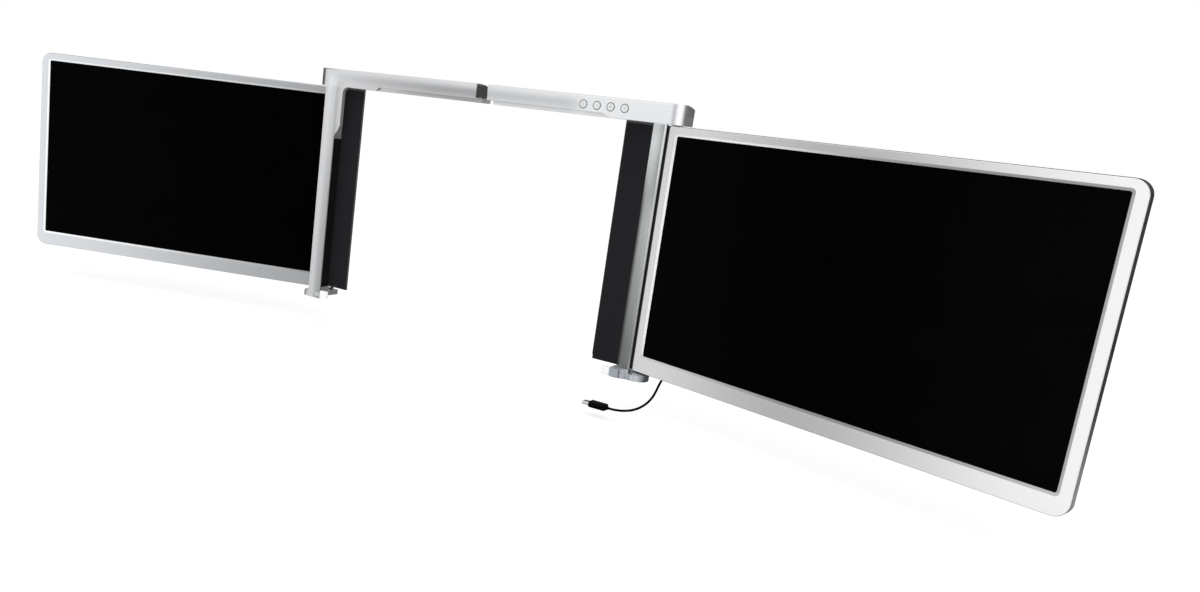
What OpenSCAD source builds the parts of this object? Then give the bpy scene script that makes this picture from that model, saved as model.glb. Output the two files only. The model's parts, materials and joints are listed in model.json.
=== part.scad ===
// Laptop screen extender: a telescoping bracket that hangs on a laptop's lid and carries two hinged displays.
// The object's frame: X to the user's right, Y away from the user, Z up along the lid.
// Heights are built from the foot's level and moved at the end, so that the origin is the seat on the lid's top edge.

/* [Display wings] */
// Width of the picture area
disp_w = 344.2; // [340:0.1:348]
// Height of the picture area
disp_h = 193.6; // [190:0.1:195]
// Silver rim beside the picture on the hinge side
rim_in = 11.2; // [10:0.1:13]
// Silver rim beside the picture on the free side
rim_out = 9.8; // [9:0.1:12]
// Silver rim above the picture
rim_top = 8.2; // [7:0.1:8.4]
// Silver rim below the picture
rim_bot = 15.4; // [13:0.1:15.4]
// Thickness of a wing
wing_t = 10.6; // [10.4:0.1:10.8]
// Radius of the corners on the free side
corner_out = 10.5; // [6:0.5:14]
// Radius of the corners on the hinge side
corner_in = 1.8; // [1.2:0.1:2.5]
// Depth of the glass below the rim
glass_drop = 1.2; // [1:0.1:1.3]

/* [Opening angles] */
// Right wing, turned towards the user from flat
yaw_r = 15.2; // [0:0.1:50]
// Left wing, turned towards the user from flat
yaw_l = 22.2; // [0:0.1:50]

/* [Bracket] */
// Half of the bracket's length with the gap as it is
half_w = 204; // [202:0.1:206]
// Top of the bar
bar_top = 246.6; // [246.4:0.1:246.8]
// Lower edge of the bar's front lip
lip_thin = 232.5; // [231.8:0.1:232.8]
// Lower edge of the deeper lip at the corners
lip_deep = 229.4; // [229.2:0.1:229.6]
// Left end of the gap between the halves
gap_l = -4.3; // [-5:0.1:-3.5]
// Right end of the gap between the halves
gap_r = 8.2; // [7.5:0.1:9]
// Radius of the bar's rounded ends
end_r = 10.5; // [9:0.1:10.8]
// Outer edge of the left leg
leg_out = 192.5; // [192:0.1:192.8]
// Inner edge of the left leg
leg_in = 175.8; // [175.6:0.1:176.6]

/* [Hinges] */
// Right hinge axis, to the right of the middle
axis_rx = 192.4; // [192.2:0.1:192.6]
// Right hinge axis, behind the bar's front
axis_ry = 20.9; // [20.8:0.1:21]
// Left hinge axis, to the left of the middle
axis_lx = 192.5; // [192.3:0.1:192.7]
// Left hinge axis, behind the bar's front
axis_ly = 32.2; // [32.1:0.1:32.4]
// Radius of the hinge pins
pin_r = 2; // [1.8:0.05:2.1]
// Running clearance of a pin in its barrel
run_clear = 0.05; // [0.02:0.01:0.09]

/* [Buttons] */
// First button, to the right of the middle
button_x = 110.3; // [110:0.1:110.6]
// Distance between buttons
button_pitch = 13.43; // [13.3:0.01:13.6]
// Height of the buttons' centres
button_z = 238.3; // [238:0.1:238.6]
// Radius of a button
button_r = 3.85; // [3.5:0.05:3.9]

/* [Cord] */
// Radius of the cord
cord_r = 1.05; // [1:0.05:1.3]

/* [Hidden] */
$fn = 48;
e = 0.02;

// seat on the lid's top edge: the object's origin
seat = [-10, 8.1, 238.6];
// the lid's slot
slot_y0 = 4.4;
slot_y1 = 11.6;

// wing, in its own frame: u along the wing from the hinge axis, w from front to back, z as the object's
eu = rim_in - 6.2;
U0 = -6.2;
U1 = eu + disp_w + rim_out;
ZD0 = 26.7;
ZD1 = ZD0 + disp_h;
Z0 = ZD0 - rim_bot;
Z1 = ZD1 + rim_top;
W0 = -wing_t / 2;
W1 = wing_t / 2;
WS = W0 + glass_drop;
WB = 2.4;
strip = 2.4;
wall = 1.6;

silver = [0.80, 0.81, 0.82];
dark = [0.16, 0.165, 0.17];

// ---------- helpers ----------
module place() { translate(-seat) children(); }
module ext_x(x0, x1) { translate([x0, 0, 0]) rotate([90, 0, 90]) linear_extrude(x1 - x0) children(); }
module ext_y(y0, y1) { translate([0, y1, 0]) rotate([90, 0, 0]) linear_extrude(y1 - y0) children(); }
module ext_z(z0, z1) { translate([0, 0, z0]) linear_extrude(z1 - z0) children(); }
module bx(x0, x1, y0, y1, z0, z1) { translate([x0, y0, z0]) cube([x1 - x0, y1 - y0, z1 - z0]); }
module cyl_y(x, z, r, y0, y1) { translate([x, y1, z]) rotate([90, 0, 0]) cylinder(r = r, h = y1 - y0); }
module right_wing_place() { translate([axis_rx, axis_ry, 0]) rotate([0, 0, -yaw_r]) children(); }
module left_wing_place() { translate([-axis_lx, axis_ly, 0]) rotate([0, 0, yaw_l]) mirror([1, 0, 0]) children(); }
// rectangle with one radius on the hinge side and one on the free side
module rr(x0, y0, x1, y1, ri, ro) {
  translate([x0 + ri, y0]) square([x1 - ro - x0 - ri, y1 - y0]);
  translate([x0, y0 + ri]) square([ri + 1, y1 - y0 - 2 * ri]);
  translate([x1 - ro - 1, y0 + ro]) square([ro + 1, y1 - y0 - 2 * ro]);
  for (y = [y0 + ri, y1 - ri]) translate([x0 + ri, y]) circle(r = ri);
  for (y = [y0 + ro, y1 - ro]) translate([x1 - ro, y]) circle(r = ro);
}
module outline(i) { rr(U0 + i, Z0 + i, U1 - i, Z1 - i, max(0.4, corner_in - i), corner_out - i); }

// ---------- wing pieces ----------
// silver rim: a thin plate with a bevelled window and a skirt inside the casing
module rim_outline(i) { rr(U0 + strip + i, Z0 + i, U1 - i, Z1 - i, max(0.4, corner_in - i), corner_out - i); }
module wing_bezel() {
  difference() {
    union() {
      hull() {
        ext_y(W0, W0 + 0.1) rim_outline(0.5);
        ext_y(W0 + 0.5, WS) rim_outline(0);
      }
      difference() {
        ext_y(WS - e, W0 + 2.9) rim_outline(2);
        ext_y(W0, W0 + 4) rim_outline(3);
        // no skirt beside the barrels
        bx(U0, 4.4, WS, 0, Z0, Z1);
      }
    }
    ext_y(W0 - 1, WS) rr(eu, ZD0, eu + disp_w, ZD1, 0.8, 0.8);
    hull() {
      ext_y(W0 - 0.02, W0 - 0.01) rr(eu - 1.9, ZD0 - 2, eu + disp_w + 1.9, ZD1 + 1.8, 2, 2);
      ext_y(WS - 0.3, WS - 0.29) rr(eu, ZD0, eu + disp_w, ZD1, 0.8, 0.8);
    }
  }
}
module wing_lcd() { bx(3.9, eu + disp_w + 1.1, WS, WS + 1.6, ZD0 - 1.1, ZD1 + 1.1); }
module wing_backlight() { bx(4.6, eu + disp_w + 0.5, WS + 1.6, WS + 3.4, ZD0 - 0.5, ZD1 + 0.5); }
module wing_board() {
  bx(30, 132, 0.4, 1.7, 44, 150);
  for (p = [[50, 70, 12], [84, 76, 16], [62, 112, 9], [100, 118, 14]]) bx(p[0], p[0] + p[2], 1.7 - e, 2.9, p[1], p[1] + p[2]);
  bx(112, 131, 1.7 - e, 3.4, 52, 62);
}
module wing_barrels() {
  for (z = [Z0 + wall + 0.1, Z1 - wall - 0.1 - 30]) difference() {
    union() {
      translate([0, 0, z]) cylinder(r = 3.4, h = 30);
      bx(0, 24, 2.4, W1 - 1.4, z + 2, z + 28);
    }
    translate([0, 0, z - 1]) cylinder(r = pin_r + run_clear, h = 32);
    for (dz = [8, 22]) cyl_y(14, z + dz, 1.3, 0, W1);
    // relief beside the casing's bevel
    for (c = [Z0, Z1 - 3.4]) bx(-4, 4, 1.8, 4, c, c + 3.4);
  }
}
// dark casing: side walls, bevelled towards the back, with a wider wall along the hinge
module wing_rear_cover() {
  difference() {
    union() {
      ext_y(WS, WB) outline(0);
      hull() {
        ext_y(WB - 0.1, WB) outline(0);
        ext_y(W1 - 0.1, W1) outline(3.2);
      }
    }
    ext_y(WS - 1, WB - 0.3) rr(U0 + strip + 0.2, Z0 + wall, U1 - wall, Z1 - wall, 0.5, corner_out - wall);
    hull() {
      ext_y(WB - 0.4, WB - 0.3) rr(U0 + strip + 0.2, Z0 + wall, U1 - wall, Z1 - wall, 0.5, corner_out - wall);
      ext_y(W1 - 1.5, W1 - 1.4) rr(U0 + strip + 0.6, Z0 + 3.1, U1 - 3.1, Z1 - 3.1, 0.5, corner_out - 3.1);
    }
    for (z = [Z0 - 1, Z1 - wall - 1]) translate([0, 0, z]) cylinder(r = 2.6, h = wall + 2);
    bx(U1 - wall - 1, U1 + 1, -1.9, 1.3, 120, 128.8);
    for (p = screw_uz) {
      cyl_y(p[0], p[1], 2.3, W1 - 0.8, W1 + 1);
      cyl_y(p[0], p[1], 1.1, W1 - 2, W1);
    }
  }
}
screw_uz = [[14, Z0 + 9.7], [14, Z1 - 9.7], [(U0 + U1) / 2, Z0 + 9], [(U0 + U1) / 2, Z1 - 9], [U1 - 14, Z0 + 14], [U1 - 14, Z1 - 14]];
module wing_screws() {
  for (p = screw_uz) {
    cyl_y(p[0], p[1], 2.25, W1 - 0.8, W1 - 0.1);
    cyl_y(p[0], p[1], 1.1, W1 - 3.2, W1 - 0.8 + e);
  }
}
module wing_port() {
  difference() {
    bx(U1 - 7.4, U1 - 0.2, -1.8, 1.2, 120.1, 128.7);
    bx(U1 - 6.4, U1, -1.3, 0.7, 120.6, 128.2);
  }
  bx(U1 - 6.5, U1 - 1.8, -0.6, 0, 121.6, 127.2);
}
module wing_flex() { bx(4.2, 44, 1.7, 2.0, 128, 142); }

// ---------- bar section, in Y and Z ----------
top_curve = [[0, 245.2], [0.3, 246.1], [1.2, bar_top], [8, bar_top - 0.1], [14, bar_top - 0.6], [20, bar_top - 1.5], [24.6, bar_top - 2.7], [26.6, bar_top - 3.7], [27.1, bar_top - 4.8]];
module bar_section(low) {
  polygon(concat([[0, low]], top_curve, [[27.1, 230.5], [25.9, 229.3], [slot_y1 + 0.4, 229.3], [slot_y1 + 0.4, seat[2]], [slot_y0, seat[2]], [slot_y0, low]]));
}
module ear_section(depth) {
  far = depth > 30 ? [[27.1, bar_top - 3.9], [33, bar_top - 5.8], [36.6, bar_top - 8.2], [depth, bar_top - 11], [depth, 229.3]] : [[26.8, bar_top - 3.6], [depth, bar_top - 5], [depth, 229.3]];
  polygon(concat([[0, 229.3]], [for (i = [0:6]) top_curve[i]], far));
}
module rail_section(i) {
  polygon([[1.4 - i, 233.65 - i], [3.15 + i, 233.65 - i], [3.15 + i, 240.25 - i], [22.15 + i, 240.25 - i], [22.15 + i, 242.95 + i], [15.7 + i, 244.15 + i], [9, 244.8 + i], [1.4 - i, 244.85 + i]]);
}
// plan of an ear: rounded front corner, small rear corner; x0 is the inner end, x1 the outer end
module ear_plan(x0, x1, depth, rf, rb) {
  difference() {
    translate([x0, 0]) square([x1 - x0, depth]);
    translate([x1 - rf, 0]) square([rf + 1, rf]);
    translate([x1 - rb, depth - rb]) square([rb + 1, rb + 1]);
  }
  translate([x1 - rf, rf]) circle(r = rf);
  translate([x1 - rb, depth - rb]) circle(r = rb);
}
// S-curve from one height to another between x0 and x1
function scurve(x0, z0, x1, z1, n = 10) = [for (i = [0:n]) [x0 + (x1 - x0) * i / n, z0 + (z1 - z0) * (1 - cos(180 * i / n)) / 2]];
function arc(cx, cy, r, a0, a1, n = 8) = [for (i = [0:n]) [cx + r * cos(a0 + (a1 - a0) * i / n), cy + r * sin(a0 + (a1 - a0) * i / n)]];

// ---------- left half of the bracket ----------
module left_front_plate() {
  // the bar's lip, the corner and the leg in one plate, seen from the front
  ext_y(0, slot_y0) polygon(concat(
    [[gap_l, 240], [gap_l, lip_thin]], scurve(-121, lip_thin, -126, lip_deep),
    arc(-162.6, lip_deep - 6.5, 6.5, 90, 180), scurve(-169.1, 189.6, -172, 184.2, 6),
    [[-175, 180.2], [-leg_in, 178.4], [-leg_in, 170], [-leg_in - 6, 170], [-leg_in - 6, 240]]));
}
module left_leg_section(i) {
  // seen from above
  polygon([[-leg_out + i, i], [-leg_out + i, 9 - 0.4 * i], [-189 + i * 0.6, 13.6 - i], [-leg_in - i, 13.6 - i], [-leg_in - i, i]]);
}
module left_bracket() {
  color(silver) difference() {
    union() {
      intersection() {
        ext_x(-184, gap_l) bar_section(lip_thin);
        bx(-190, 0, -1, 40, 228, 250);
      }
      left_front_plate();
      // ear over the hinge
      intersection() {
        ext_x(-half_w, -178.4) ear_section(38.4);
        ext_z(229.3, 250) mirror([1, 0]) ear_plan(178, half_w, 38.4, end_r, 5);
      }
      bx(-184, -178.4, 0, 27, 229.3, 241);
      // leg
      ext_z(5, 231) left_leg_section(0);
      // foot under the hinge
      ext_z(4.9, 10.4) mirror([1, 0]) {
        ear_plan(184, half_w, 38.4, end_r, 5);
        translate([leg_in, 0]) square([10, 13.6]);
      }
    }
    // hollow of the leg
    ext_z(12.5, 227) left_leg_section(2);
    // the rail's bed
    ext_x(-110.4, gap_l + 1) rail_section(0);
    // space in the back of the bar, and the bed of its cover
    bx(-166, -24, 13.4, 26.2, 231.6, 238.6);
    bx(-170, -20, 25.9, 28, 230.6, 240.4);
    for (x = [-168, -22]) cyl_y(x, 235.5, 0.8, 20, 26);
    for (x = [-100, -60, -20]) { cyl_y(x, 241.6, 0.95, 20, 28); }
    // hinge pin holes
    translate([-axis_lx, axis_ly, 228]) cylinder(r = pin_r, h = 9);
    translate([-axis_lx, axis_ly, 6]) cylinder(r = pin_r, h = 6);
    // groove of the clip
    clip_groove(-1);
  }
}
module left_back_plate() { color([0.30, 0.31, 0.32]) difference() { bx(-leg_in, -150, 12.6, 14, 18, 229.3); for (z = [40, 123, 206]) cyl_y(-160, z, 4, 12, 15); } }
module left_foam_pad() { color([0.05, 0.05, 0.055]) bx(-leg_in, -151, slot_y1, 12.6, 19, 227); }
module left_edge_rubber() { color([0.05, 0.05, 0.055]) bx(-leg_in, -leg_in + 0.5, 0.7, slot_y1, 18, 176); }
module left_bar_cover() { color([0.70, 0.71, 0.72]) difference() { bx(-170, -20, 25.9, 27.1, 230.6, 240.4); for (x = [-168, -22]) { cyl_y(x, 235.5, 1.6, 26.4, 28); cyl_y(x, 235.5, 0.8, 25, 27); } } }
module bar_screws(xs) { color([0.55, 0.56, 0.57]) for (x = xs) { cyl_y(x, 235.5, 1.55, 26.4, 27.0); cyl_y(x, 235.5, 0.8, 21, 26.4 + e); } }
module telescoping_rail() {
  color(dark) difference() {
    union() {
      ext_x(-110.4, 88) rail_section(0);
      intersection() { ext_x(-60, 155) rail_section(0); bx(-60, 155, 5.5, 30, 230, 250); }
    }
    // slimmer where it runs in the right half
    difference() {
      ext_x(gap_l, 160) rail_section(1);
      ext_x(gap_l - 1, 161) rail_section(-0.25);
    }
    for (x = [-100, -60, -20]) cyl_y(x, 241.6, 0.95, 17, 28);
  }
}
module rail_screws() { color([0.55, 0.56, 0.57]) for (x = [-100, -60, -20]) { cyl_y(x, 241.6, 0.95, 17.5, 26.9); } }
module left_hinge_pins() { color([0.62, 0.63, 0.64]) { translate([-axis_lx, axis_ly, Z1 - 30]) cylinder(r = pin_r, h = 237 - Z1 + 30); translate([-axis_lx, axis_ly, 6]) cylinder(r = pin_r, h = Z0 + 24); } }
module washers(x, y) { color([0.12, 0.12, 0.12]) for (z = [[10.4, Z0 - 0.3], [Z1 + 0.3, 229.3]]) translate([x, y, z[0]]) difference() { cylinder(r = 4.6, h = z[1] - z[0]); translate([0, 0, -1]) cylinder(r = pin_r + 0.1, h = 3); } }
// sliding clips at the lid's lower corners; s is +1 on the right and -1 on the left
clip_x = [175.7, 173.6];
clip_z = [[7.2, 12], [5.7, 13.1]];
module flip(s) { mirror([s > 0 ? 0 : 1, 0, 0]) children(); }
module clip_groove(s) {
  k = s > 0 ? 1 : 0;
  flip(s) {
    bx(170, 182.5, -1, 1.2, clip_z[k][0] - 0.3, clip_z[k][1] + 0.3);
    bx(170, 182.5, 1.1, 2.0, 8.3, 10.8);
    bx(170, 182.5, 1.9, 3.4, 7.4, 11.7);
  }
}
module clip_tongue(s) {
  k = s > 0 ? 1 : 0;
  x = clip_x[k];
  color(s > 0 ? [0.62, 0.64, 0.69] : silver) flip(s) {
    bx(x, 182.2, -0.9, 0.9, clip_z[k][0], clip_z[k][1]);
    bx(x + 1, 182.2, 0.8, 2.3, 8.6, 10.5);
    bx(x + 1, 182.2, 2.2, 3.1, 7.7, 11.4);
    bx(x - 5, x + 0.1, 0.2, 2.4, 8.2, 10.9);
  }
}
module clip_pad(s) {
  z = s > 0 ? [5.2, 12.8] : [5.2, 14];
  x = s > 0 ? 165.2 : 167;
  w = clip_x[s > 0 ? 1 : 0] - x;
  color([0.95, 0.95, 0.95]) flip(s) translate([x, 0, 0]) difference() {
    union() {
      bx(0, w, -0.4, 3.6, z[0] + 0.6, z[1] - 0.6);
      bx(0.7, w, -1.2, 4.3, z[0] + 0.6, z[1] - 0.6);
      bx(0.7, w, -0.4, 3.6, z[0], z[1]);
    }
    bx(w - 5, w + 1, 0.2, 2.4, 8.2, 10.9);
  }
}

// ---------- right half of the bracket ----------
module right_front_plate() {
  ext_y(0, slot_y0) polygon(concat([[gap_r, 240], [gap_r, lip_thin]], scurve(129, lip_thin, 140, lip_deep), [[180, lip_deep], [180, 240]]));
}
module right_leg_channel() {
  ext_z(9, 231) polygon([[187.8, 8.4], [187.8, 10.6], [184.2, 14.2], [174.4, 14.2], [174.4, 13], [183.9, 13], [186.2, 10.7], [186.2, 8.4]]);
}
module foot_plan() {
  polygon(concat([[174, 14.2], [174, 0.4], [174.4, 0], [178, 0.1], [181, 0.7], [184, 2], [186.5, 3.3], [188.5, 3.9], [190.5, 3.6], [192, 3]],
    arc(axis_rx, 15, 12.1, -85, 90, 20), [[184, 27.1], [181, 24], [179, 14.2]]));
}
// the part of the foot beside the wing, up to the sill of the leg's plate
module foot_block() {
  polygon([[174, 14.2], [174, 0.4], [174.4, 0], [178, 0.1], [181, 0.7], [184, 2], [186.5, 3.3], [188.2, 3.8], [189, 4.6], [189.2, 10.4], [187.4, 12.6], [185, 14.2]]);
}
module right_bracket() {
  color(silver) difference() {
    union() {
      ext_x(gap_r, 184) bar_section(lip_thin);
      right_front_plate();
      intersection() {
        ext_x(178.4, half_w) ear_section(28);
        ext_z(229.3, 250) ear_plan(178, half_w, 28, end_r, 3);
      }
      bx(178.4, 184, 0, 27, 229.3, 241);
      right_leg_channel();
      ext_z(4.9, 10.4) foot_plan();
      ext_z(10.4 - e, 13.9) foot_block();
      // flat around the cord's boot
      bx(193.4, 200.6, 20, 27.1, 4.9, 10.4);
    }
    // the rail's slideway
    ext_x(gap_r - 1, 168.6) rail_section(0.05);
    // space for the controller, and the bed of its cover
    bx(20, 166, 13.4, 26.2, 231.6, 238.6);
    bx(16, 170, 25.9, 28, 230.6, 240.4);
    for (x = [18, 168]) cyl_y(x, 235.5, 0.8, 20, 26);
    for (i = [0:3]) cyl_y(button_x + i * button_pitch, button_z, button_r + 0.1, -1, 2);
    bx(102, 159, 1, 3.4, 233.6, 243.2);
    translate([axis_rx, axis_ry, 228]) cylinder(r = pin_r, h = 13.5);
    translate([axis_rx, axis_ry, 6]) cylinder(r = pin_r, h = 6);
    // groove of the clip
    clip_groove(1);
    // bore of the cord's boot
    cyl_y(boot_x, boot_z, 1.6, 23, 28);
  }
}
module right_edge_rubber() { color([0.05, 0.05, 0.055]) ext_z(13.9, 228.7) polygon([[187.8, 9.4], [188.3, 9.8], [188.4, 12.5], [187.6, 13.6], [184.9, 14.2], [184.2, 14.2], [187.8, 10.6]]); }
module right_leg_plate() {
  color([0.72, 0.73, 0.74]) intersection() {
    translate([177.6, -3.4, 13.9]) difference() { cylinder(r = 16.4, h = 214.8, $fn = 96); translate([0, 0, -1]) cylinder(r = 15.4, h = 217, $fn = 96); }
    bx(174.4, 186.1, 8, 13, 13.9, 228.7);
  }
}
module right_back_plate() { color([0.30, 0.31, 0.32]) difference() { bx(148, 174.4, 12.6, 14, 18, 229.3); for (z = [40, 123, 206]) cyl_y(158, z, 4, 12, 15); } }
module right_foam_pad() { color([0.05, 0.05, 0.055]) bx(149, 174.4, slot_y1, 12.6, 14.2, 227); }
module right_bar_cover() { color([0.70, 0.71, 0.72]) difference() { bx(16, 170, 25.9, 27.1, 230.6, 240.4); for (x = [18, 168]) { cyl_y(x, 235.5, 1.6, 26.4, 28); cyl_y(x, 235.5, 0.8, 25, 27); } } }
module controller_board() {
  color([0.05, 0.28, 0.16]) { bx(30, 158, 13.4, 15, 231.6, 238.6); for (x = [44, 70, 96, 128]) bx(x, x + 9, 15 - e, 16.6, 232.2, 237.8); }
}
module button_board() { color([0.05, 0.28, 0.16]) bx(104, 157, 2.8, 3.4, 234, 243); }
module button_domes() { color([0.75, 0.75, 0.76]) for (i = [0:3]) cyl_y(button_x + i * button_pitch, button_z, 2.2, 2.4, 2.8); }
module button(i) {
  color([0.93, 0.93, 0.93]) {
    cyl_y(button_x + i * button_pitch, button_z, button_r, -0.35, 1.4);
    cyl_y(button_x + i * button_pitch, button_z, 4.5, 1.3, 1.7);
  }
}
module right_hinge_pins() { color([0.62, 0.63, 0.64]) { translate([axis_rx, axis_ry, Z1 - 30]) cylinder(r = pin_r, h = 241.5 - Z1 + 30); translate([axis_rx, axis_ry, 6]) cylinder(r = pin_r, h = Z0 + 24); } }

// ---------- cord ----------
boot_x = 197;
boot_z = 7.6;
route = [[197, 33, 7.6], [198, 36.7, 7.7], [200.8, 39.3, 7.8], [204.5, 40.3, 7.9], [208.3, 39.4, 8.1], [211.3, 36.6, 8.2], [213, 32.6, 8.3],
  [213.9, 27.2, 8.1], [214.9, 20.6, 6.9], [215.9, 14.2, 4.3], [216.8, 8, 0.7], [217, 1.6, -3.7], [215.5, -5.2, -8.4],
  [212.5, -12, -12], [208.4, -18.4, -14.2], [202.8, -23.3, -15.4], [196.4, -25.6, -16], [189.6, -26, -16.2]];
plug_c = [189.6, -26, -16.2];
function cr(a, b, c, d, t) = 0.5 * (2 * b + (c - a) * t + (2 * a - 5 * b + 4 * c - d) * t * t + (3 * b - a - 3 * c + d) * t * t * t);
nr = len(route);
ext_route = concat([route[0] - [0, 4, 0]], route, [route[nr - 1] - [6, 0, 0]]);
sub = 3;
path = [for (i = [0:nr - 2], k = [0:sub - 1]) cr(ext_route[i], ext_route[i + 1], ext_route[i + 2], ext_route[i + 3], k / sub), route[nr - 1]];
np = len(path);
function unit(v) = v / norm(v);
function tang(i) = i == 0 ? [0, 1, 0] : i == np - 1 ? [-1, 0, 0] : unit(path[i + 1] - path[i - 1]);
// a side direction that turns smoothly: the part of Z square to the cord
function sidev(i) = unit([0, 0, 1] - tang(i) * tang(i)[2]);
function ring(i, r, m) = [for (k = [0:m - 1]) path[i] + r * (cos(360 * k / m) * sidev(i) + sin(360 * k / m) * cross(tang(i), sidev(i)))];
module cord() {
  m = 8;
  pts = [for (i = [0:np - 1]) each ring(i, cord_r, m)];
  faces = concat([[for (k = [0:m - 1]) k]],
    [for (i = [0:np - 2], k = [0:m - 1]) each [[i * m + k, (i + 1) * m + k, (i + 1) * m + (k + 1) % m], [i * m + k, (i + 1) * m + (k + 1) % m, i * m + (k + 1) % m]]],
    [[for (k = [m - 1:-1:0]) (np - 1) * m + k]]);
  color([0.03, 0.03, 0.03]) polyhedron(points = pts, faces = faces);
}
module cord_boot() {
  color([0.03, 0.03, 0.03]) translate([boot_x, 23, boot_z]) rotate([-90, 0, 0]) rotate_extrude()
    polygon([[0, 0], [1.6, 0], [1.6, 4.1], [2.3, 4.1], [2.25, 6.2], [1.5, 10], [0, 10]]);
}
module plug_body() {
  color([0.04, 0.04, 0.04]) translate([plug_c[0] - 17.6, plug_c[1], plug_c[2]]) {
    translate([0, -2.4, -2.9]) cube([15.4, 4.8, 5.8]);
    for (s = [-1, 1]) translate([0, s * 2.4, 0]) rotate([0, 90, 0]) cylinder(r = 2.9, h = 15.4);
    translate([15.3, 0, 0]) rotate([0, 90, 0]) rotate_extrude() polygon([[0, 0], [2.5, 0], [1.7, 2.3], [0, 2.3]]);
  }
}
module plug_shell() {
  color([0.75, 0.76, 0.77]) translate([plug_c[0] - 17.6 - 6.6, plug_c[1], plug_c[2]]) difference() {
    union() {
      translate([0, -2.95, -1.25]) cube([6.6, 5.9, 2.5]);
      for (s = [-1, 1]) translate([0, s * 2.95, 0]) rotate([0, 90, 0]) cylinder(r = 1.25, h = 6.6);
    }
    translate([-1, -3.2, -0.8]) cube([6, 6.4, 1.6]);
  }
}

place() left_bracket();
place() left_back_plate();
place() left_foam_pad();
place() left_edge_rubber();
place() left_bar_cover();
place() bar_screws([-168, -22]);  // left_bar_screws
place() telescoping_rail();
place() rail_screws();
place() left_hinge_pins();
place() washers(-axis_lx, axis_ly);  // left_washers
place() clip_tongue(-1);  // left_clip_tongue
place() clip_pad(-1);  // left_clip_pad
place() right_bracket();
place() right_leg_plate();
place() right_edge_rubber();
place() right_back_plate();
place() right_foam_pad();
place() right_bar_cover();
place() bar_screws([18, 168]);  // right_bar_screws
place() controller_board();
place() button_board();
place() button_domes();
place() button(0);  // button_1
place() button(1);  // button_2
place() button(2);  // button_3
place() button(3);  // button_4
place() right_hinge_pins();
place() washers(axis_rx, axis_ry);  // right_washers
place() clip_tongue(1);  // right_clip_tongue
place() clip_pad(1);  // right_clip_pad
place() right_wing_place() color([0.84, 0.84, 0.85]) wing_bezel();  // right_bezel
place() right_wing_place() color([0.01, 0.01, 0.012]) wing_lcd();  // right_lcd_panel
place() right_wing_place() color([0.9, 0.9, 0.88]) wing_backlight();  // right_backlight
place() right_wing_place() color([0.05, 0.28, 0.16]) wing_board();  // right_driver_board
place() right_wing_place() color([0.55, 0.56, 0.57]) wing_barrels();  // right_hinge_barrels
place() right_wing_place() color([0.20, 0.20, 0.21]) wing_rear_cover();  // right_rear_cover
place() right_wing_place() color([0.6, 0.6, 0.62]) wing_port();  // right_side_port
place() right_wing_place() color([0.4, 0.4, 0.42]) wing_screws();  // right_cover_screws
place() right_wing_place() color([0.7, 0.45, 0.1]) wing_flex();  // right_flex_lead
place() left_wing_place() color([0.84, 0.84, 0.85]) wing_bezel();  // left_bezel
place() left_wing_place() color([0.01, 0.01, 0.012]) wing_lcd();  // left_lcd_panel
place() left_wing_place() color([0.9, 0.9, 0.88]) wing_backlight();  // left_backlight
place() left_wing_place() color([0.05, 0.28, 0.16]) wing_board();  // left_driver_board
place() left_wing_place() color([0.55, 0.56, 0.57]) wing_barrels();  // left_hinge_barrels
place() left_wing_place() color([0.20, 0.20, 0.21]) wing_rear_cover();  // left_rear_cover
place() left_wing_place() color([0.6, 0.6, 0.62]) wing_port();  // left_side_port
place() left_wing_place() color([0.4, 0.4, 0.42]) wing_screws();  // left_cover_screws
place() left_wing_place() color([0.7, 0.45, 0.1]) wing_flex();  // left_flex_lead
place() cord_boot();
place() cord();
place() plug_body();
place() plug_shell();
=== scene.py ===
import json
import math

import bmesh
import bpy
from mathutils import Matrix, Vector

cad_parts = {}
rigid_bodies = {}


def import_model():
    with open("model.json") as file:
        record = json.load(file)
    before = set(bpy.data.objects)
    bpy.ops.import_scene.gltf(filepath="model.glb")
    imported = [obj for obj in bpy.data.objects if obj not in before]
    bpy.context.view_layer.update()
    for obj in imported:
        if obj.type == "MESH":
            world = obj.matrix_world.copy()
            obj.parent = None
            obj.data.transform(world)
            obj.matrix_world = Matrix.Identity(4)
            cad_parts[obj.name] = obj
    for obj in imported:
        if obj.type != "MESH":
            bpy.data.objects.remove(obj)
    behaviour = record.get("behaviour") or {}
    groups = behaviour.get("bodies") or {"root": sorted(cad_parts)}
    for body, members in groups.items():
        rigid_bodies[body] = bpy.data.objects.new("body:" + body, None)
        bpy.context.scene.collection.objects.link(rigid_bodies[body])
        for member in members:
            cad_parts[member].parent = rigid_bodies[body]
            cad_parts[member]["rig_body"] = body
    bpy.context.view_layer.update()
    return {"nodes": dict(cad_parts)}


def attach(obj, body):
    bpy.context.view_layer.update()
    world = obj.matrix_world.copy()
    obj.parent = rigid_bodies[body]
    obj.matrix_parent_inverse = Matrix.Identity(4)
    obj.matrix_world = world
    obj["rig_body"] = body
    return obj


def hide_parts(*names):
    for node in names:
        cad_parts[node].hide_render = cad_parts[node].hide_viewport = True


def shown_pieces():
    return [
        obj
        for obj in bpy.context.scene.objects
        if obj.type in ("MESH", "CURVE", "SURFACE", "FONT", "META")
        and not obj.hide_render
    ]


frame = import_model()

SCENE = bpy.context.scene
NODES = frame["nodes"]
SEAT = Vector((-10.0, 8.1, 238.6))


def P(x, y, z):
    """A point given in the drawing's millimetres, in the row frame in metres."""
    return (Vector((x, y, z)) - SEAT) / 1000.0


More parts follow.
